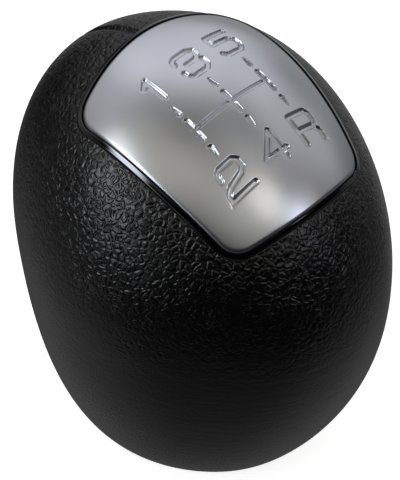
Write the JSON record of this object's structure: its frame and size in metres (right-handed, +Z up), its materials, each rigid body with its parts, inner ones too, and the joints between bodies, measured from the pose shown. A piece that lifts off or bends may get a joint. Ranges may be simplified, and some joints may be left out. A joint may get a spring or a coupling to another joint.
{
  "type": "gear shift knob",
  "caption": "Egg-shaped gear knob with a leather-grain grip, a satin chrome plate engraved with a shift pattern, and a threaded insert for the lever.",
  "frame": {"origin": "on the lever's axis in the plane of the base, which is also the middle of the bounding box's bottom", "axes": "+Z up along the lever, +Y to the front of the car, +X to the right"},
  "size_m": [0.056, 0.0662, 0.0776],
  "materials": {
    "grained_skin": "soft moulded skin with a leather grain, low sheen",
    "core_nylon": "moulded glass-filled nylon, as moulded",
    "screw_steel": "zinc-plated steel",
    "insert_brass": "turned brass",
    "bush_rubber": "moulded rubber, matt",
    "collar_plastic": "moulded black plastic, fine texture",
    "bezel_gloss": "gloss black plastic",
    "pad_foam": "closed-cell foam",
    "satin_chrome": "satin chrome plating"
  },
  "bodies": {
    "root": {"grip": "grained_skin", "core_left": "core_nylon", "core_right": "core_nylon", "join_screws": "screw_steel", "threaded_insert": "insert_brass", "centring_bush": "bush_rubber", "base_collar": "collar_plastic", "bezel": "bezel_gloss", "bezel_screws": "screw_steel", "damping_pad": "pad_foam", "cap_plate": "satin_chrome"}
  },
  "joints": []
}
